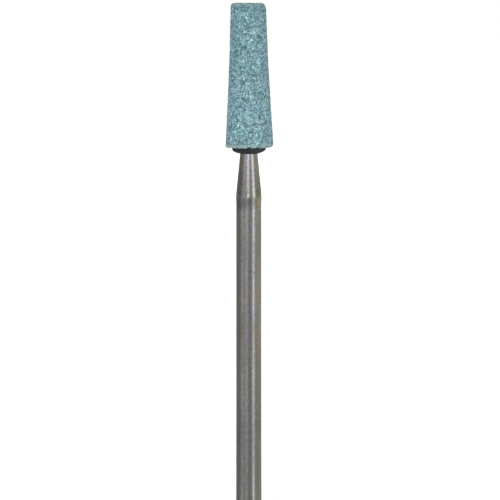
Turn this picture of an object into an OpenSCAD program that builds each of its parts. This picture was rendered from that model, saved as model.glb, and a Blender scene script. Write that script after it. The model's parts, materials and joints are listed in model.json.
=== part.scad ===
// Mounted point: a tapered grinding stone cemented onto a turned steel mandrel.
// The origin is the centre of the shank's end face, and +Z runs up the axis to the tip of the stone.

/* [Mandrel] */
// Overall length of the mandrel, from the shank's end face to the end of its pin
mandrel_len = 44.5; // [38:0.1:60]
// Diameter of the straight shank that the chuck grips
shank_d = 2.35; // [2:0.05:3.2]
// Chamfer round the shank's end face
shank_chamfer = 0.25; // [0.05:0.05:0.5]
// Length of the tapered neck between the shank and the stone
neck_len = 4.45; // [2:0.05:8]

/* [Pin] */
// Diameter of the pin inside the stone, and of the neck's thin end
pin_d = 1.5; // [1.2:0.05:1.8]
// Chamfer round the end of the pin
pin_chamfer = 0.15; // [0.05:0.05:0.3]
// Number of turned grooves along the pin that key it in the cement
groove_count = 4; // [1:1:6]
// Width of each groove at the surface of the pin
groove_w = 0.6; // [0.4:0.05:0.8]
// Depth of each groove, with flanks at 45 degrees
groove_depth = 0.12; // [0.05:0.01:0.18]

/* [Stone] */
// Length of the stone from its base to its tip
head_len = 13.3; // [10:0.05:18]
// Diameter of the stone at its base, before the edge is rounded
head_base_d = 4.44; // [3.6:0.02:6]
// Diameter of the stone at its flat tip, before the edge is rounded
head_tip_d = 3.26; // [2.8:0.02:4.4]
// How far the flared side bows in from a straight taper, at half the stone's length
head_flare = 0.08; // [0:0.01:0.15]
// Radius of the edge round the tip
tip_edge_r = 0.2; // [0.05:0.01:0.4]
// Radius of the edge round the base
base_edge_r = 0.15; // [0.05:0.01:0.3]
// Solid stone left between the end of the bore and the tip
tip_cover = 2.75; // [1:0.05:5]

/* [Cement] */
// Thickness of the cement film between the pin and the wall of the bore
film = 0.1; // [0.05:0.01:0.15]
// Thickness of the cement between the end of the pin and the end of the bore
end_gap = 0.2; // [0.05:0.05:0.5]
// Height of the bead of cement under the stone
bead_h = 0.6; // [0.2:0.05:0.8]
// Width of the bare ring of stone round the bead
bead_inset = 0.65; // [0.3:0.05:0.8]

/* [Hidden] */

// Facets of a full turn, and straight steps in the outline of an edge and of the stone's side
turn_facets = 128;
edge_steps = 6;
side_steps = 16;

shank_r = shank_d / 2;
pin_r = pin_d / 2;
bore_r = pin_r + film;
base_r = head_base_d / 2;
tip_r = head_tip_d / 2;
bead_r = base_r - bead_inset;

// Heights along the axis
pin_len = head_len - tip_cover - end_gap;
z_base = mandrel_len - pin_len;
z_neck = z_base - neck_len;
z_bore_end = mandrel_len + end_gap;
z_tip = z_base + head_len;
z_bead = z_base - bead_h;

// Radius of the neck where the bead ends on it
bead_foot_r = pin_r + (shank_r - pin_r) * bead_h / neck_len;

// Slopes of the stone's side, radius against height, where it meets the base and the tip
base_slope = (tip_r - base_r - 4 * head_flare) / head_len;
tip_slope = (tip_r - base_r + 4 * head_flare) / head_len;

function arc(centre, r, from, to, steps) =
    [for (i = [0:steps]) let (a = from + (to - from) * i / steps) centre + r * [cos(a), sin(a)]];

// Radius of the stone's side at a height above its base: a straight taper bowed in to a parabola
function side_r(h) =
    let (t = h / head_len) base_r + (tip_r - base_r) * t - 4 * head_flare * t * (1 - t);

// Outline of one groove, whose middle is at height z on the pin
function groove(z) =
    let (foot = pin_r - groove_depth, half = groove_w / 2)
    [[pin_r, z - half], [foot, z - half + groove_depth], [foot, z + half - groove_depth], [pin_r, z + half]];

// Outline of the pin from the base of the stone to the axis, with its grooves spread evenly
function pin_outline() = concat(
    [[pin_r, z_base]],
    [for (i = [1:groove_count]) each groove(z_base + pin_len * i / (groove_count + 1))],
    [[pin_r, mandrel_len - pin_chamfer], [pin_r - pin_chamfer, mandrel_len], [0, mandrel_len]]
);

// Edge round the base: an arc that touches the base and the side
function base_edge() =
    let (centre_r = base_r + base_edge_r * (base_slope - sqrt(1 + pow(base_slope, 2))))
    arc([centre_r, z_base + base_edge_r], base_edge_r, -90, -atan(base_slope), edge_steps);

// Edge round the tip: an arc that touches the side and the tip
function tip_edge() =
    let (centre_r = tip_r - tip_edge_r * (tip_slope + sqrt(1 + pow(tip_slope, 2))))
    arc([centre_r, z_tip - tip_edge_r], tip_edge_r, -atan(tip_slope), 90, edge_steps);

// Flared side of the stone between the ends of its two edges
function side() =
    let (
        low = base_edge_r * (1 - sin(atan(base_slope))),
        high = head_len - tip_edge_r * (1 + sin(atan(tip_slope)))
    )
    [
        for (i = [1:side_steps - 1])
            let (h = low + (high - low) * i / side_steps)
            [side_r(h), z_base + h]
    ];

// Underside of the bead: an arc from the base of the stone that comes in level at the neck
function bead_outline() =
    let (
        reach = bead_r - bead_foot_r,
        r = (pow(reach, 2) + pow(bead_h, 2)) / (2 * bead_h)
    )
    arc([bead_foot_r, z_bead + r], r, -90, atan2(bead_h - r, reach), edge_steps * 2);

module turned(outline) {
    rotate_extrude($fn = turn_facets) polygon(outline);
}

// Shank, neck and pin are turned from one bar
module mandrel() {
    color("#8f8e89") turned(concat(
        [[0, 0], [shank_r - shank_chamfer, 0], [shank_r, shank_chamfer], [shank_r, z_neck]],
        pin_outline()
    ));
}

// Stone of bonded grit, moulded with a blind bore
module abrasive_head() {
    color("#7ea0a8") turned(concat(
        [[bore_r, z_base]],
        base_edge(),
        side(),
        tip_edge(),
        [[0, z_tip], [0, z_bore_end], [bore_r, z_bore_end]]
    ));
}

// Cement that fills the bore round the pin and stands out under the stone as a bead
module cement() {
    inner = pin_outline();
    last = len(inner) - 1;
    color("#2b3236") turned(concat(
        bead_outline(),
        [[bore_r, z_base], [bore_r, z_bore_end], [0, z_bore_end]],
        [for (i = [last:-1:0]) inner[i]]
    ));
}

mandrel();
abrasive_head();
cement();
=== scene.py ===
# A mounted point: a tapered grinding stone cemented on a steel mandrel, standing upright on a white floor.
import json
import math

import bmesh
import bpy
from mathutils import Matrix, Vector, noise


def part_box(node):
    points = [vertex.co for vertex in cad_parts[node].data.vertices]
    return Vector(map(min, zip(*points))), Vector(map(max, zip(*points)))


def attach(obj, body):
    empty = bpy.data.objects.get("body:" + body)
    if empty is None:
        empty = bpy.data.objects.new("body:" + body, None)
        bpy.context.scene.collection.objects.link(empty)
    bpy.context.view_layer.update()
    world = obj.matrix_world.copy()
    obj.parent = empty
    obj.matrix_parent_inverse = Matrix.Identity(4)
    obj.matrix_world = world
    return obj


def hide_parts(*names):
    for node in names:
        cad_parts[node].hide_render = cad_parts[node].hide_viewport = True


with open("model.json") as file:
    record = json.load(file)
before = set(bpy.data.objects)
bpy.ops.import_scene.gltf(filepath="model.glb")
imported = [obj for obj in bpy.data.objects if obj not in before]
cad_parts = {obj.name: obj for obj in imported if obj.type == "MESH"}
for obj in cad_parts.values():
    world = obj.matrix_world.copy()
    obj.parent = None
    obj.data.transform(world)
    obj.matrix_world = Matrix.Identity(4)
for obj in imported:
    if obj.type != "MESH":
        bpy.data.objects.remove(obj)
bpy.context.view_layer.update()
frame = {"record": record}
bpy.context.scene.view_settings.view_transform = "Standard"

# Mandrel: one bar of tool steel, turned down to a tapered neck and a grooved pin, with the shank ground
# straight and satin bright so that a chuck grips it. The pin stands up inside the stone.
MM = 0.001
MANDREL_TURN = 160
shank_r = frame["record"]["mounts"][0]["dims"]["r_mm"] * MM
mandrel_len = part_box("mandrel")[1].z
base_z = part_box("abrasive_head")[0].z
neck_len = 4.45 * MM
neck_z = base_z - neck_len
pin_r = 0.75 * MM
shank_chamfer = 0.25 * MM
pin_chamfer = 0.15 * MM
groove_count = 4
groove_w = 0.6 * MM
groove_depth = 0.12 * MM
edge_break = 0.04 * MM
edge_break_steps = 3
ring_pitch = 0.6 * MM
weld_gap = 0.001 * MM

# Shoulder between shank and neck: a faint lip, and a faint waist under it where the lathe tool ran out
lip_top = 0.2 * MM
lip_swell = 0.016 * MM
lip_drop = 0.2 * MM
lip_rise = 0.018 * MM
waist_drop = 0.85 * MM
waist_depth = 0.004 * MM
band_end = 1.5 * MM
flank_r = pin_r + (shank_r - pin_r) * (neck_len - lip_top) / neck_len + lip_swell

# Finish of the steel: tones from the darkest to the lightest, and gloss as roughness
steel_warm = ((0.175, 0.172, 0.161), (0.219, 0.215, 0.202))
steel_cool = ((0.171, 0.169, 0.178), (0.214, 0.212, 0.223))
steel_gloss = (0.34, 0.2)
steel_cloud_stretch = (500.0, 500.0, 170.0)
steel_clouds = {"scale": 1.0, "detail": 4.0, "low": 0.36, "high": 0.64}
steel_tints = {"scale": 650.0, "detail": 2.0, "low": 0.4, "high": 0.6}
speck_shade = (0.72, 1.0)
steel_specks = {"scale": 4200.0, "detail": 2.0, "low": 0.3, "high": 0.7}
oxide_film = ((0.97, 1.0, 0.985), (1.0, 0.965, 0.985))
steel_oxide = {"scale": 1100.0, "detail": 2.0, "low": 0.35, "high": 0.65}
wave_stretch = (2600.0, 2600.0, 1100.0)
wave_strength = 1.0
wave_depth = 0.006 * MM
grind_stretch = (300.0, 300.0, 16000.0)
grind_strength = 0.25
grind_depth = 0.004 * MM
relief_detail = 3.0
steel_anisotropy = 0.5
steel_grain_turn = 0.25

# Shoulder: painted shade on a band under the lip, painted light on its right, then the lip, rubbed bright
# with painted shade on its right, and above it the neck, with painted light that grows toward the stone
band_fade = ((0.0, 0.0), (0.27, 0.7), (0.44, 1.0), (0.8, 1.0), (0.9, 0.0))
band_painted_shade = (0.69, 0.69, 0.68)
band_right_painted_light = (1.12, 1.08, 0.96)
band_gloss = 0.26
right_side_start = 0.4 * shank_r
right_side_full = 0.8 * shank_r
rub_drop = 0.25 * MM
rub_rise = 0.42 * MM
rub_fade = ((0.0, 0.0), (0.22, 1.0), (0.78, 1.0), (1.0, 0.0))
rub_gloss = 0.12
lip_shade_drop = 0.3 * MM
lip_shade_rise = 0.9 * MM
lip_shade_fade = ((0.0, 0.0), (0.15, 1.0), (0.6, 1.0), (1.0, 0.0))
lip_right_painted_shade = (0.78, 0.8, 0.74)
neck_light_rise = 1.2 * MM
neck_painted_light = 1.4


def pin_outline():
    """Outline of the pin from the base of the stone up to the axis, as radius and height."""
    foot_r = pin_r - groove_depth
    pin_len = mandrel_len - base_z
    points = [(pin_r, base_z)]
    for i in range(groove_count):
        middle = base_z + pin_len * (i + 1) / (groove_count + 1)
        low = middle - groove_w / 2
        high = middle + groove_w / 2
        points += [(pin_r, low), (foot_r, low + groove_depth)]
        points += [(foot_r, high - groove_depth), (pin_r, high)]
    points += [(pin_r, mandrel_len - pin_chamfer), (pin_r - pin_chamfer, mandrel_len), (0.0, mandrel_len)]
    return points


def outline_wire(points):
    """A new bmesh that holds an outline of radius and height as a chain of edges in the XZ plane."""
    bm = bmesh.new()
    chain = [bm.verts.new((r, 0.0, z)) for r, z in points]
    for low, high in zip(chain, chain[1:]):
        bm.edges.new((low, high))
    return bm


def turn(bm, steps):
    """Spins the outline once round Z and closes it, as a lathe would."""
    wire = bm.verts[:] + bm.edges[:]
    bmesh.ops.spin(
        bm, geom=wire, cent=(0, 0, 0), axis=(0, 0, 1), angle=math.tau, steps=steps, use_merge=True
    )
    bmesh.ops.remove_doubles(bm, verts=bm.verts, dist=weld_gap)
    bmesh.ops.recalc_face_normals(bm, faces=bm.faces)


def new_object(name, bm, material):
    """Puts a mesh with its material into the scene, as an object at the origin."""
    mesh = bpy.data.meshes.new(name)
    bm.to_mesh(mesh)
    bm.free()
    mesh.materials.append(material)
    made = bpy.data.objects.new(name, mesh)
    bpy.context.scene.collection.objects.link(made)
    return made


def finished_piece(name, bm, material, node):
    """Makes the mesh a smooth-shaded piece that stands for its CAD node."""
    for face in bm.faces:
        face.smooth = True
    piece = new_object(name, bm, material)
    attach(piece, "root")
    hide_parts(node)


def new_material(name):
    """A node material and its shader."""
    material = bpy.data.materials.new(name)
    material.use_nodes = True
    return material, material.node_tree.nodes["Principled BSDF"]


def add_node(tree, kind, fields=None, **inputs):
    """Adds a shader node, sets its fields, and fills or links the inputs that are named."""
    node = tree.nodes.new(kind)
    for field, value in (fields or {}).items():
        setattr(node, field, value)
    for name, value in inputs.items():
        socket = node.inputs[name.replace("_", " ")]
        if isinstance(value, bpy.types.NodeSocket):
            tree.links.new(value, socket)
        else:
            socket.default_value = value
    return node


def own_place(tree):
    """Coordinates that stay with the piece."""
    return add_node(tree, "ShaderNodeTexCoord").outputs["Object"]


def stretched(tree, place, scale):
    """The place scaled along each axis, so that a pattern on it is drawn out."""
    return add_node(tree, "ShaderNodeMapping", Vector=place, Scale=scale).outputs["Vector"]


def between(tree, value, start, end, low=0.0, high=1.0):
    """Runs from low to high as the value runs from start to end, and stays level past them."""
    return add_node(
        tree, "ShaderNodeMapRange", Value=value, From_Min=start, From_Max=end, To_Min=low, To_Max=high
    ).outputs["Result"]


def colour_of(tone):
    """A colour or a grey as a colour socket takes it. A link stays as it is."""
    if isinstance(tone, bpy.types.NodeSocket):
        return tone
    return (*tone, 1.0) if isinstance(tone, tuple) else (tone, tone, tone, 1.0)


def blended(tree, share, one, two, kind="MIX"):
    """Blends a share of the second tone into the first."""
    return add_node(
        tree, "ShaderNodeMixRGB", {"blend_type": kind},
        Fac=share, Color1=colour_of(one), Color2=colour_of(two),
    ).outputs["Color"]


def ramp(tree, source, stops):
    """A colour ramp over the source, with each stop given as a position and a colour or grey."""
    node = add_node(tree, "ShaderNodeValToRGB", Fac=source)
    elements = node.color_ramp.elements
    while len(elements) < len(stops):
        elements.new(1.0)
    for element, (position, tone) in zip(elements, stops):
        element.position = position
        element.color = colour_of(tone)
    return node.outputs["Color"]


def relief(tree, place, scale):
    """Height of a fine noise that is drawn out along each axis."""
    return add_node(
        tree, "ShaderNodeTexNoise", Vector=stretched(tree, place, scale), Scale=1.0, Detail=relief_detail
    ).outputs["Fac"]


def new_group(name, numbers, output, output_type):
    """A shader node group over a place, with number inputs and one output, and the sockets that feed it."""
    group = bpy.data.node_groups.new(name, "ShaderNodeTree")
    group.interface.new_socket(name="Place", in_out="INPUT", socket_type="NodeSocketVector")
    for number in numbers:
        group.interface.new_socket(name=number, in_out="INPUT", socket_type="NodeSocketFloat")
    group.interface.new_socket(name=output, in_out="OUTPUT", socket_type=output_type)
    return group, add_node(group, "NodeGroupInput").outputs


def mottle_group():
    """Cloudy patches, as a mask that runs from 0 in the low ones to 1 in the high ones."""
    numbers = ("Scale", "Detail", "Low", "High")
    group, given = new_group("mottle", numbers, "Mask", "NodeSocketFloat")
    patches = add_node(
        group, "ShaderNodeTexNoise", Vector=given["Place"], Scale=given["Scale"], Detail=given["Detail"]
    ).outputs["Fac"]
    add_node(group, "NodeGroupOutput", Mask=between(group, patches, given["Low"], given["High"]))
    return group


mottle = mottle_group()


def mottled(tree, place, scale, detail, low, high):
    """Mask of the mottle in a material."""
    return add_node(
        tree, "ShaderNodeGroup", {"node_tree": mottle},
        Place=place, Scale=scale, Detail=detail, Low=low, High=high,
    ).outputs["Mask"]


def ground_tone(tree, place):
    """Tone and gloss of the ground bar: clouds drawn out along it, warm and cool tints, specks and oxide."""
    clouds = mottled(tree, stretched(tree, place, steel_cloud_stretch), **steel_clouds)
    warm = blended(tree, clouds, *steel_warm)
    cool = blended(tree, clouds, *steel_cool)
    tone = blended(tree, mottled(tree, place, **steel_tints), warm, cool)
    specks = blended(tree, mottled(tree, place, **steel_specks), *speck_shade)
    tone = blended(tree, 1.0, tone, specks, "MULTIPLY")
    film = blended(tree, mottled(tree, place, **steel_oxide), *oxide_film)
    tone = blended(tree, 1.0, tone, film, "MULTIPLY")
    return tone, blended(tree, clouds, *steel_gloss)


def shoulder_gloss_and_painted_shading(tree, place, tone, gloss):
    """Shoulder tone and gloss with painted shade and light, and painted light growing up the neck."""
    axes = add_node(tree, "ShaderNodeSeparateXYZ", Vector=place).outputs
    on_right = between(tree, axes["X"], right_side_start, right_side_full)
    band = ramp(tree, between(tree, axes["Z"], neck_z - band_end, neck_z), band_fade)
    # Painted shade darkens the band, and painted light lightens its right side.
    tone = blended(tree, band, tone, blended(tree, on_right, band_painted_shade, band_right_painted_light), "MULTIPLY")
    gloss = blended(tree, band, gloss, band_gloss)
    rubbed = ramp(tree, between(tree, axes["Z"], neck_z - rub_drop, neck_z + rub_rise), rub_fade)
    gloss = blended(tree, rubbed, gloss, rub_gloss)
    # Painted shade on the right of the lip.
    lip_shaded = ramp(tree, between(tree, axes["Z"], neck_z - lip_shade_drop, neck_z + lip_shade_rise), lip_shade_fade)
    tone = blended(tree, lip_shaded, tone, blended(tree, on_right, 1.0, lip_right_painted_shade), "MULTIPLY")
    # Painted light on the neck, growing toward the stone.
    neck_lightening = between(tree, axes["Z"], neck_z + neck_light_rise, base_z, 1.0, neck_painted_light)
    return blended(tree, 1.0, tone, neck_lightening, "MULTIPLY"), gloss


def feed(tree, shader, tone, gloss, normal):
    """Links the tone, the gloss and the normal of a finish to its shader."""
    tree.links.new(tone, shader.inputs["Base Color"])
    tree.links.new(gloss, shader.inputs["Roughness"])
    tree.links.new(normal, shader.inputs["Normal"])


def satin_steel():
    """Ground steel: soft waves left by the grinding, and over them the wheel's fine lines round the bar."""
    material, shader = new_material("satin_steel")
    tree = material.node_tree
    place = own_place(tree)
    tone, gloss = shoulder_gloss_and_painted_shading(tree, place, *ground_tone(tree, place))
    waves = add_node(
        tree, "ShaderNodeBump",
        Height=relief(tree, place, wave_stretch), Strength=wave_strength, Distance=wave_depth,
    )
    lines = add_node(
        tree, "ShaderNodeBump", Normal=waves.outputs["Normal"],
        Height=relief(tree, place, grind_stretch), Strength=grind_strength, Distance=grind_depth,
    )
    feed(tree, shader, tone, gloss, lines.outputs["Normal"])
    shader.inputs["Metallic"].default_value = 1.0
    shader.inputs["Anisotropic"].default_value = steel_anisotropy
    shader.inputs["Anisotropic Rotation"].default_value = steel_grain_turn
    return material


mandrel_points = [(0.0, 0.0), (shank_r - shank_chamfer, 0.0), (shank_r, shank_chamfer)]
mandrel_points += [(shank_r, neck_z - band_end), (shank_r - waist_depth, neck_z - waist_drop)]
mandrel_points += [(shank_r + lip_rise, neck_z - lip_drop), (flank_r, neck_z + lip_top)]
mandrel_bm = outline_wire(mandrel_points + pin_outline())
off_axis = mandrel_bm.verts[:][1:-1]
bmesh.ops.bevel(
    mandrel_bm, geom=off_axis, offset=edge_break, segments=edge_break_steps, profile=0.5,
    affect="VERTICES", material=-1,
)
for edge in mandrel_bm.edges[:]:
    rings = int(edge.calc_length() / ring_pitch)
    if rings > 0:
        bmesh.ops.subdivide_edges(mandrel_bm, edges=[edge], cuts=rings)
turn(mandrel_bm, MANDREL_TURN)
finished_piece("steel_mandrel", mandrel_bm, satin_steel(), "mandrel")

# Cement: black resin that fills the bore round the pin and was squeezed out under the stone, where it set
# as a low bowl-shaped bead, a little uneven, down to the steel of the neck.
CEMENT_TURN = 144
bead_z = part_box("cement")[0].z
bore_end_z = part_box("cement")[1].z
bore_r = 0.85 * MM
bead_r = 1.585 * MM
bead_h = base_z - bead_z
bead_foot_r = pin_r + (flank_r - pin_r) * bead_h / (neck_len - lip_top)
bead_steps = 14
bead_fullness = 3.2
bead_lean = 0.3
bead_shift = 0.02 * MM
bead_keyed = 0.03 * MM
bead_end_share = 0.01
bead_lump = 0.035 * MM
bead_lump_size = 0.9 * MM
bead_lump_seed = Vector((3.1, 0.4, 7.7))
bead_lump_fade = 4

# Finish of the cement: near black with a blue-green cast, satin, with tiny pits and a dusty bloom
cement_tone = ((0.005, 0.011, 0.015), (0.014, 0.026, 0.033))
cement_bloom = {"scale": 1800.0, "detail": 4.0, "low": 0.3, "high": 0.75}
cement_gloss = (0.5, 0.7)
cement_dulling = {"scale": 1800.0, "detail": 4.0, "low": 0.3, "high": 0.7}
cement_pits = {"scale": 9000.0, "detail": 2.0, "strength": 0.4, "depth": 0.02 * MM}
cement_sheen = 0.28


def bead_radius(rise, fullness):
    """Radius of the bead's underside at a rise from 0 at the neck to 1 at the stone, where it is upright."""
    return bead_foot_r + (bead_r - bead_foot_r) * (1 - (1 - rise) ** fullness)


def pitting_group():
    """Tiny pits and grit all over a surface, as a normal."""
    numbers = ("Scale", "Detail", "Strength", "Depth")
    group, given = new_group("pitting", numbers, "Normal", "NodeSocketVector")
    pits = add_node(
        group, "ShaderNodeTexNoise", Vector=given["Place"], Scale=given["Scale"], Detail=given["Detail"]
    ).outputs["Fac"]
    bump = add_node(
        group, "ShaderNodeBump", Height=pits, Strength=given["Strength"], Distance=given["Depth"]
    )
    add_node(group, "NodeGroupOutput", Normal=bump.outputs["Normal"])
    return group


pitting = pitting_group()


def pitted(tree, place, scale, detail, strength, depth):
    """Normal of the pitting in a material."""
    return add_node(
        tree, "ShaderNodeGroup", {"node_tree": pitting},
        Place=place, Scale=scale, Detail=detail, Strength=strength, Depth=depth,
    ).outputs["Normal"]


def black_cement():
    """Set resin: its bloom lightens it in patches, which are duller too."""
    material, shader = new_material("black_cement")
    tree = material.node_tree
    place = own_place(tree)
    tone = blended(tree, mottled(tree, place, **cement_bloom), *cement_tone)
    gloss = blended(tree, mottled(tree, place, **cement_dulling), *cement_gloss)
    feed(tree, shader, tone, gloss, pitted(tree, place, **cement_pits))
    shader.inputs["Specular IOR Level"].default_value = cement_sheen
    return material


cement_points = []
for i in range(bead_steps + 1):
    cement_points.append((bead_radius(i / bead_steps, bead_fullness), bead_z + bead_h * (i / bead_steps)))
cement_points += [(bead_r, base_z + bead_keyed), (bore_r, base_z + bead_keyed), (bore_r, bore_end_z)]
cement_points += [(0.0, bore_end_z)]
cement_bm = outline_wire(cement_points + pin_outline()[::-1] + cement_points[:1])
turn(cement_bm, CEMENT_TURN)
cement_bm.normal_update()
for vert in cement_bm.verts:
    radius = vert.co.xy.length
    rise = (vert.co.z - bead_z) / bead_h
    if bead_end_share < rise < 1 - bead_end_share:
        fullness = bead_fullness - bead_lean * vert.co.x / radius
        vert.co.xy *= bead_radius(rise, fullness) / radius
        radius = vert.co.xy.length
        vert.co.x += bead_shift * rise
    above_foot = (radius - bead_foot_r) / (bead_r - bead_foot_r)
    if vert.co.z < base_z + bead_keyed / 2 and above_foot > bead_end_share:
        lump = noise.noise(vert.co / bead_lump_size + bead_lump_seed)
        vert.co += vert.normal * bead_lump * lump * min(1.0, above_foot * bead_lump_fade)
finished_piece("cement_bead", cement_bm, black_cement(), "cement")

# Stone: blue-green abrasive grit in a fired bond, moulded with a blind bore and dressed to a flared taper
# with a flat tip. It is cemented on slightly out of true, and its edges are dusty, worn most on the right,
# and nicked at the base.
SIDE_CELLS = 72
LENGTH_CELLS = 288
tip_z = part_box("abrasive_head")[1].z
head_len = tip_z - base_z
middle_z = (base_z + tip_z) / 2
head_base_r = 2.235 * MM
head_tip_r = 1.615 * MM
head_flare = 0.07 * MM
cant_base = 0.058 * MM
cant_tip = -0.037 * MM
bore_ring = round(SIDE_CELLS / 2 * bore_r / head_base_r) / (SIDE_CELLS / 2)
mouth_slack = 0.01

# Wear: smoothing passes on the left and on the right of each edge, waves left by dressing, and a nicked rim
worn_band = 0.42 * MM
tip_wear_passes = (40, 125)
base_wear_passes = (6, 60)
wear_strength = 0.8
dress_wave = 0.018 * MM
dress_wave_size = 2.6 * MM
rim_band = 0.4 * MM
rim_drop = 0.045 * MM
nick_spacing = 0.9 * MM
nick_r = 0.28 * MM
nick_depth = 0.24 * MM
nick_fade = 3
nick_seed = Vector((7.0, 7.0, 3.0))

# Grit: tilted grains with creases between them, pits where grains fell out, and chips, a few of which glint.
# Creases and pits get painted shade, and the glinting chips are glossy and get a painted highlight.
# Each draws its own chances, between 0 and 1, from the noise cell at its centre times the draw step.
DRAW_STEP = 41.0
EVEN_DRAW = Vector((0.5, 0.5, 0.5))
grain_size = 0.17 * MM
grain_level = 0.012 * MM
grain_slope = 0.32
grain_tilt_seed = Vector((17.0, 5.0, 29.0))
crease_depth = 0.016 * MM
crease_width = 0.3
pit_spacing = 0.24 * MM
pit_share = 0.3
pit_r = 0.11 * MM
pit_r_least = 0.6
pit_r_spread = 0.8
pit_depth = 0.05 * MM
pit_steepness = 2
pit_seed = Vector((4.0, 7.0, 1.0))
chip_size = 0.075 * MM
chip_level = 0.008 * MM
chip_seed = Vector((9.0, 2.0, 5.0))
glint_from = 0.972

# Tones of the grit, from 0 for the darkest to 1 for the lightest, with painted shade and glints, and gloss
grain_tone = 0.54
grain_tone_spread = 0.56
crease_painted_shade = 0.2
patch_size = 0.65 * MM
patch_tone = 0.09
pit_painted_shade = 0.56
chip_tone_spread = 0.36
chip_gloss = 0.25
glint_painted_highlight = 0.55
tip_painted_shade = 0.05
tip_ring_painted_shade = 0.12
tip_ring_depth = 1.2 * MM
tip_dust_band = 0.3 * MM
base_dust_band = 0.45 * MM

# Finish of the grit: colours by tone, a drift between them, and dust on the edges
# The stop at 1, reached mostly by the glinting chips, is the colour of their painted highlight.
grit_blue = (
    (0.1, (0.069, 0.137, 0.17)), (0.5, (0.184, 0.311, 0.369)),
    (0.93, (0.42, 0.62, 0.69)), (1.0, (0.62, 0.8, 0.85)),
)
grit_green = (
    (0.1, (0.06, 0.141, 0.16)), (0.5, (0.171, 0.324, 0.354)),
    (0.93, (0.39, 0.63, 0.67)), (1.0, (0.6, 0.8, 0.84)),
)
grit_drift = {"scale": 900.0, "detail": 3.0, "low": 0.35, "high": 0.65}
grit_cast = ((0.93, 1.0, 1.0), (1.03, 0.995, 1.01))
grit_warmth = {"scale": 700.0, "detail": 2.0, "low": 0.35, "high": 0.65}
dust_tone = (0.31, 0.41, 0.36)
dust_cover = ((0.0, 0.0), (1.0, 0.65))
grit_gloss = ((0.2, 0.85), (0.9, 0.25))
grit_sand = {"scale": 28000.0, "detail": 3.0, "strength": 0.5, "depth": 0.02 * MM}


def side_radius(rise):
    """Radius of the flared side at a rise from 0 at the base to 1 at the tip."""
    return head_base_r + (head_tip_r - head_base_r) * rise - 4 * head_flare * rise * (1 - rise)


def turned_place(block):
    """Place on the stone of a point on the unit block, whose square section is drawn out to a circle."""
    across, deep, rise = 2 * block.x, 2 * block.y, block.z + 0.5
    ring = max(abs(across), abs(deep))
    if ring == 0.0:
        angle = 0.0
    elif abs(across) >= abs(deep):
        angle = math.pi / 4 * deep / across + (math.pi if across < 0 else 0.0)
    else:
        angle = math.pi / 2 - math.pi / 4 * across / deep + (math.pi if deep < 0 else 0.0)
    radius = side_radius(rise) * ring
    lean = cant_base + (cant_tip - cant_base) * rise * rise * (3 - 2 * rise)
    if rise == 0.0:
        out = max(0.0, (ring - bore_ring) / (1 - bore_ring))
        lean *= out
        if ring >= bore_ring:
            radius = bore_r + (side_radius(rise) - bore_r) * out
        else:
            radius = bore_r * ring / bore_ring
    return Vector((radius * math.cos(angle) + lean, radius * math.sin(angle), base_z + head_len * rise))


def wear_at(place):
    """Smoothing passes that wear the stone's edges at a place: fewest on the left and most on the right."""
    toward_right = 0.5 + 0.5 * place.x / place.xy.length
    least, most = tip_wear_passes if place.z > middle_z else base_wear_passes
    return least + (most - least) * toward_right ** 2


def grain_at(place):
    """Height of the stone's surface at a place, with the tone and the gloss of the grain there."""
    gaps, centres = noise.voronoi(place / grain_size)
    middle = centres[0] * grain_size
    grain = noise.cell_vector(centres[0] * DRAW_STEP)
    tilt = noise.cell_vector(centres[0] * DRAW_STEP + grain_tilt_seed) - EVEN_DRAW
    height = grain_level * (grain.x - 0.5) + 2 * grain_slope * tilt.dot(place - middle)
    crease = max(0.0, 1.0 - (gaps[1] - gaps[0]) / crease_width)
    height -= crease_depth * crease
    # Painted shade darkens the creases.
    tone = grain_tone + grain_tone_spread * (grain.y - 0.5) - crease_painted_shade * crease
    # Painted shade darkens the stone toward the tip, and more in a ring under the tip.
    tone += patch_tone * noise.noise(place / patch_size) - tip_painted_shade * (place.z - base_z) / head_len
    tone -= tip_ring_painted_shade * max(0.0, 1.0 - (tip_z - place.z) / tip_ring_depth)
    pit_gaps, pit_centres = noise.voronoi(place / pit_spacing + pit_seed)
    pit = noise.cell_vector(pit_centres[0] * DRAW_STEP)
    if pit.x < pit_share:
        reach = pit_r * (pit_r_least + pit_r_spread * pit.y)
        hollow = min(1.0, pit_steepness * max(0.0, 1.0 - pit_gaps[0] * pit_spacing / reach))
        height -= pit_depth * hollow
        # Painted shade darkens the pit.
        tone -= pit_painted_shade * hollow
    chip_centres = noise.voronoi(place / chip_size + chip_seed)[1]
    chip = noise.cell_vector(chip_centres[0] * DRAW_STEP)
    height += chip_level * (chip.x - 0.5)
    tone += chip_tone_spread * (chip.y - 0.5)
    gloss = chip_gloss * chip.z
    # Glinting chips are glossy, and painted lighter as a painted highlight.
    if chip.z > glint_from:
        gloss = 1.0
        tone += glint_painted_highlight
    return height, tone, gloss


def rim_sag(place):
    """How far the base rim hangs below the moulded edge at a place: a little all round, and less at the
    nicks that run across it to the bead."""
    off_bead = min(1.0, max(0.0, (place.xy.length - bead_r) / (head_base_r - bead_r)))
    near_base = max(0.0, 1.0 - (place.z - base_z) / rim_band)
    on_rim = (place.xy.normalized() * head_base_r).to_3d() + Vector((0.0, 0.0, base_z))
    gaps = noise.voronoi(on_rim / nick_spacing + nick_seed)[0]
    nick = max(0.0, 1.0 - gaps[0] * nick_spacing / nick_r)
    return near_base * (rim_drop * off_bead - nick_depth * nick * min(1.0, nick_fade * off_bead))


def edge_dust_at(place):
    """How much pale dust lies at a place: most on the two edges and none past a narrow band."""
    from_side = max(0.0, side_radius((place.z - base_z) / head_len) - place.xy.length)
    if place.z > middle_z:
        return max(0.0, 1.0 - math.hypot(from_side, tip_z - place.z) / tip_dust_band)
    return max(0.0, 1.0 - math.hypot(from_side, place.z - base_z) / base_dust_band)


def attribute(tree, name):
    """A number that the mesh carries at each of its vertices."""
    return add_node(tree, "ShaderNodeAttribute", {"attribute_name": name}).outputs["Fac"]


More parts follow.
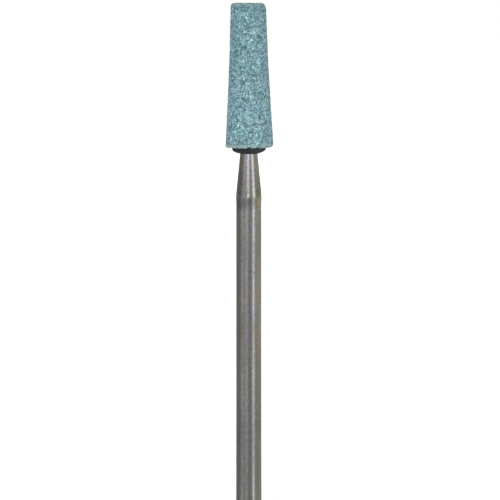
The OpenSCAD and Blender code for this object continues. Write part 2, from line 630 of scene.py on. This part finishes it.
def bonded_grit():
    """Fired grit: each grain has its own tone and gloss, over a drift between blue-grey and sea green."""
    material, shader = new_material("bonded_grit")
    tree = material.node_tree
    place = own_place(tree)
    tone = attribute(tree, "grain_tone")
    blue = ramp(tree, tone, grit_blue)
    green = ramp(tree, tone, grit_green)
    clean = blended(tree, mottled(tree, place, **grit_drift), blue, green)
    cast = blended(tree, mottled(tree, place, **grit_warmth), *grit_cast)
    clean = blended(tree, 1.0, clean, cast, "MULTIPLY")
    dusty = ramp(tree, attribute(tree, "edge_dust"), dust_cover)
    colour = blended(tree, dusty, clean, dust_tone)
    gloss = ramp(tree, attribute(tree, "grain_gloss"), grit_gloss)
    feed(tree, shader, colour, gloss, pitted(tree, place, **grit_sand))
    return material


# The block: its section is cut in square cells, and the cells over the bore are left open
stone_bm = bmesh.new()
bmesh.ops.create_cube(stone_bm, size=1.0)
upright = [e for e in stone_bm.edges if e.verts[0].co.z != e.verts[1].co.z]
bmesh.ops.subdivide_edges(stone_bm, edges=upright, cuts=LENGTH_CELLS - 1, use_grid_fill=True)
level = [e for e in stone_bm.edges if abs(e.verts[0].co.z - e.verts[1].co.z) < 0.5 / LENGTH_CELLS]
bmesh.ops.subdivide_edges(stone_bm, edges=level, cuts=SIDE_CELLS - 1, use_grid_fill=True)
in_bore = bore_ring + 0.5 / SIDE_CELLS
over_bore = [
    face for face in stone_bm.faces
    if face.normal.z < -0.5 and max(abs(c) for c in face.calc_center_median().xy) * 2 < in_bore
]
bmesh.ops.delete(stone_bm, geom=over_bore, context="FACES")
for vert in stone_bm.verts:
    vert.co = turned_place(vert.co)

# The worn edges
near_edges = [
    v for v in stone_bm.verts
    if min(abs(v.co.z - base_z), abs(v.co.z - tip_z)) < worn_band and v.co.xy.length > head_tip_r - worn_band
]
passes = {v: wear_at(v.co) for v in near_edges}
for step in range(max(tip_wear_passes)):
    worn = [v for v in near_edges if passes[v] > step]
    bmesh.ops.smooth_vert(
        stone_bm, verts=worn, factor=wear_strength, use_axis_x=True, use_axis_y=True, use_axis_z=True
    )

# The grit, all over but for the mouth of the bore
stone_bm.normal_update()
tones = stone_bm.verts.layers.float.new("grain_tone")
glosses = stone_bm.verts.layers.float.new("grain_gloss")
dusts = stone_bm.verts.layers.float.new("edge_dust")
for vert in stone_bm.verts:
    lift, vert[tones], vert[glosses] = grain_at(vert.co)
    vert[dusts] = edge_dust_at(vert.co)
    sag = rim_sag(vert.co)
    lift += dress_wave * noise.noise(vert.co / dress_wave_size)
    if vert.co.z < base_z + mouth_slack * MM and vert.co.xy.length < bore_r * (1 + mouth_slack):
        lift = 0.0
    vert.co += vert.normal * lift - Vector((0.0, 0.0, sag))

# The blind bore
mouth = [e for e in stone_bm.edges if e.is_boundary]
bore = bmesh.ops.extrude_edge_only(stone_bm, edges=mouth)["geom"]
bore_top = [v for v in bore if isinstance(v, bmesh.types.BMVert)]
for vert in bore_top:
    vert.co.z = bore_end_z
bmesh.ops.contextual_create(stone_bm, geom=[e for e in stone_bm.edges if e.is_boundary])
bmesh.ops.recalc_face_normals(stone_bm, faces=stone_bm.faces)
finished_piece("grinding_stone", stone_bm, bonded_grit(), "abrasive_head")

# Floor and surroundings: a pale matt floor under the shank's end, and white all round. Both show white to
# the camera and in the polish of the steel. The object's shadow stays on the floor.
WHITE = (1.0, 1.0, 1.0)
ambient = 0.6
floor_side = 4.0
floor_tone = (0.8, 0.8, 0.8)
floor_glow = 0.6
foot_glow = 0.24
foot_pool_start = 0.012
foot_pool_end = 0.12


def white_to_camera(tree):
    """1 for rays that show the surroundings: straight from the camera, in gloss or through glass."""
    path = add_node(tree, "ShaderNodeLightPath").outputs
    total = path["Is Camera Ray"]
    for ray in ("Is Glossy Ray", "Is Transmission Ray"):
        larger = add_node(tree, "ShaderNodeMath", {"operation": "MAXIMUM"}, Value=total)
        tree.links.new(path[ray], larger.inputs[1])
        total = larger.outputs["Value"]
    return total


def matt_paint(name, tone, glow):
    """Matt paint that also glows in a colour of its own, and its shader."""
    paint, shader = new_material(name)
    shader.inputs["Base Color"].default_value = colour_of(tone)
    shader.inputs["Roughness"].default_value = 1.0
    shader.inputs["Specular IOR Level"].default_value = 0.0
    shader.inputs["Emission Color"].default_value = colour_of(glow)
    return paint, shader


def stage_piece(name, bm, paint):
    """A painted piece of the stage, which is no part of the object."""
    piece = new_object(name, bm, paint)
    return piece


world = bpy.data.worlds.new("white_surroundings")
world.use_nodes = True
bpy.context.scene.world = world
sky = world.node_tree
background = sky.nodes["Background"]
background.inputs["Color"].default_value = colour_of(WHITE)
sky.links.new(between(sky, white_to_camera(sky), 0.0, 1.0, ambient, 1.0), background.inputs["Strength"])

floor_bm = bmesh.new()
bmesh.ops.create_grid(floor_bm, x_segments=1, y_segments=1, size=floor_side / 2)
floor_paint, floor_shader = matt_paint("floor", floor_tone, WHITE)
stage_piece("floor", floor_bm, floor_paint)
floor_tree = floor_paint.node_tree
on_floor = own_place(floor_tree)
reach = add_node(floor_tree, "ShaderNodeVectorMath", {"operation": "LENGTH"}, Vector=on_floor)
pool = between(floor_tree, reach.outputs["Value"], foot_pool_start, foot_pool_end, foot_glow, floor_glow)
glow = add_node(floor_tree, "ShaderNodeMath", {"operation": "MULTIPLY"}, Value=white_to_camera(floor_tree))
floor_tree.links.new(pool, glow.inputs[1])
floor_tree.links.new(glow.outputs["Value"], floor_shader.inputs["Emission Strength"])

# Cards: lit boards set in a ring round the object, as a photographer's reflectors are. They show only in
# what is glossy on it, above all the steel. The shank mirrors what stands below the split, and the neck what
# stands above it.
card_near = 3.0 * MM
card_far = 45.0 * MM
card_lift = 0.02 * MM
card_panel = 15.0
card_split = 30.0 * MM
card_top = 90.0 * MM
front_top = 28.0 * MM
right_low = 12.0 * MM
strip_low = 6.0 * MM
strip_middle = 18.0 * MM
shoulder_foot = 30.7 * MM
shoulder_top = 34.3 * MM
BLACK = (0.0, 0.0, 0.0)

# Name, first and last angle in degrees from the camera's side, foot, top and glow
left_cards = (
    ("left_card", -145.0, -92.0, 0.0, card_split, (0.6, 0.58, 0.51)),
    ("left_card_top", -145.0, -92.0, card_split, card_top, (0.46, 0.445, 0.39)),
    ("left_card_middle", -92.0, -82.0, 0.0, card_split, (0.72, 0.7, 0.64)),
    ("left_card_middle_top", -92.0, -74.0, card_split, card_top, (0.49, 0.475, 0.435)),
    ("left_card_edge", -82.0, -72.0, 0.0, card_split, (0.88, 0.86, 0.81)),
    ("left_card_edge_top", -74.0, -64.0, card_split, card_top, (0.69, 0.68, 0.65)),
    ("left_card_warm", -72.0, -55.0, 0.0, card_split, (1.38, 1.32, 1.24)),
    ("left_strip", -46.0, -36.0, 0.0, front_top, (0.81, 0.82, 0.89)),
)
back_cards = (
    ("back_left_card", -168.0, -145.0, 0.0, card_top, (0.28, 0.28, 0.27)),
    ("back_card", 168.0, 192.0, 0.0, card_top, (1.9, 1.9, 1.85)),
    ("back_right_card", 140.0, 168.0, 0.0, card_top, (0.26, 0.26, 0.25)),
)
right_cards = (
    ("right_card_foot", 62.0, 140.0, 0.0, right_low, (0.94, 0.91, 0.75)),
    ("right_card", 62.0, 140.0, right_low, card_split, (1.34, 1.29, 1.04)),
    ("right_card_top", 62.0, 140.0, card_split, card_top, (0.93, 0.92, 0.785)),
)
front_cards = (
    ("front_card_edge", -9.0, -2.5, 0.0, front_top, (0.8, 0.8, 0.82)),
    ("front_card", -2.5, 15.0, 0.0, front_top, (0.58, 0.59, 0.6)),
    ("front_card_end", 15.0, 22.0, 0.0, front_top, (0.75, 0.76, 0.77)),
    ("shank_strip_foot", 37.0, 49.5, 0.0, strip_low, (3.1, 3.1, 3.05)),
    ("shank_strip", 37.0, 49.5, strip_low, strip_middle, (3.5, 3.5, 3.45)),
    ("shank_strip_top", 37.0, 49.5, strip_middle, card_split, (4.0, 4.0, 3.95)),
    ("neck_strip", 36.0, 60.0, card_split, card_top, (3.3, 3.3, 3.2)),
    ("neck_card", -50.0, -15.0, card_split, card_top, (1.15, 1.14, 1.14)),
    ("shoulder_card", -17.0, 4.0, shoulder_foot, shoulder_top, (3.9, 3.9, 3.9)),
)


def folded_card(name, start, end, foot, top, glow):
    """A lit card between two angles from the camera's side, upright from its foot to its top. One that
    starts at the floor also lies on it, in to the shank."""
    points = [(card_far, max(foot, card_lift)), (card_far, top)]
    if foot == 0.0:
        points.insert(0, (card_near, card_lift))
    bm = outline_wire(points)
    to_start = Matrix.Rotation(math.radians(start) - math.pi / 2, 3, "Z")
    bmesh.ops.rotate(bm, verts=bm.verts, cent=(0, 0, 0), matrix=to_start)
    bmesh.ops.spin(
        bm, geom=bm.verts[:] + bm.edges[:], cent=(0, 0, 0), axis=(0, 0, 1),
        angle=math.radians(end - start), steps=math.ceil((end - start) / card_panel),
    )
    paint, shader = matt_paint(name, BLACK, glow)
    shader.inputs["Emission Strength"].default_value = 1.0
    card = stage_piece(name, bm, paint)
    card.visible_camera = False
    card.visible_diffuse = False
    card.visible_shadow = False


for card_plan in left_cards + back_cards + right_cards + front_cards:
    folded_card(*card_plan)

# Lamps: soft boxes that light the object, a strip at the right, a narrow and a wide one in front, and one
# behind. The strip and the one behind don't show in the polish of the steel, where cards stand for them.


def softbox(name, azimuth, height, distance, width, drop, radiance, in_polish):
    """A rectangular lamp that faces the mandrel, placed by its angle from the camera's side."""
    lamp = bpy.data.lights.new(name, "AREA")
    lamp.shape = "RECTANGLE"
    lamp.size = width
    lamp.size_y = drop
    lamp.energy = radiance * math.pi * width * drop
    holder = bpy.data.objects.new(name, lamp)
    bpy.context.scene.collection.objects.link(holder)
    angle = math.radians(azimuth)
    stand = Vector((math.sin(angle) * distance, -math.cos(angle) * distance, height))
    toward = stand - Vector((0.0, 0.0, min(height, base_z)))
    holder.matrix_world = Matrix.Translation(stand) @ toward.to_track_quat("Z", "Y").to_matrix().to_4x4()
    holder.visible_camera = False
    holder.visible_glossy = in_polish


softbox(
    "strip_lamp", azimuth=43.0, height=0.11, distance=0.16, width=0.034, drop=0.22,
    radiance=1.9, in_polish=False,
)
softbox(
    "front_lamp", azimuth=-14.0, height=0.17, distance=0.34, width=0.06, drop=0.16,
    radiance=3.6, in_polish=True,
)
softbox(
    "back_lamp", azimuth=190.0, height=0.45, distance=0.6, width=0.5, drop=0.3,
    radiance=4.2, in_polish=False,
)
softbox(
    "wide_lamp", azimuth=-18.0, height=0.32, distance=0.6, width=0.6, drop=0.35,
    radiance=2.6, in_polish=True,
)

# Camera: a long lens that looks a little down, as in the photograph. It is aimed so that the tip and the
# axis stand where the photograph has them, at the photograph's scale.
PHOTO_SIDE = 500
PX_PER_MM = 10.8
TIP_PX = 4.15
AXIS_PX = 248.8
camera_lens = 300.0
camera_sensor = 36.0
camera_rise = math.radians(4.0)
camera_clip_start = 0.01
camera_clip_end = 10.0

camera_data = bpy.data.cameras.new("camera")
camera_data.lens = camera_lens
camera_data.sensor_width = camera_sensor
camera_data.clip_start = camera_clip_start
camera_data.clip_end = camera_clip_end
camera = bpy.data.objects.new("camera", camera_data)
bpy.context.scene.collection.objects.link(camera)
aim_x = (PHOTO_SIDE / 2 - AXIS_PX) / PX_PER_MM * MM
aim_z = tip_z - (PHOTO_SIDE / 2 - TIP_PX) / PX_PER_MM * MM / math.cos(camera_rise)
stand_off = PHOTO_SIDE / PX_PER_MM * MM * camera_lens / camera_sensor
back = Vector((0.0, -math.cos(camera_rise), math.sin(camera_rise)))
camera_place = Vector((aim_x, 0.0, aim_z)) + back * stand_off
camera.matrix_world = Matrix.Translation(camera_place) @ back.to_track_quat("Z", "Y").to_matrix().to_4x4()
bpy.context.scene.camera = camera
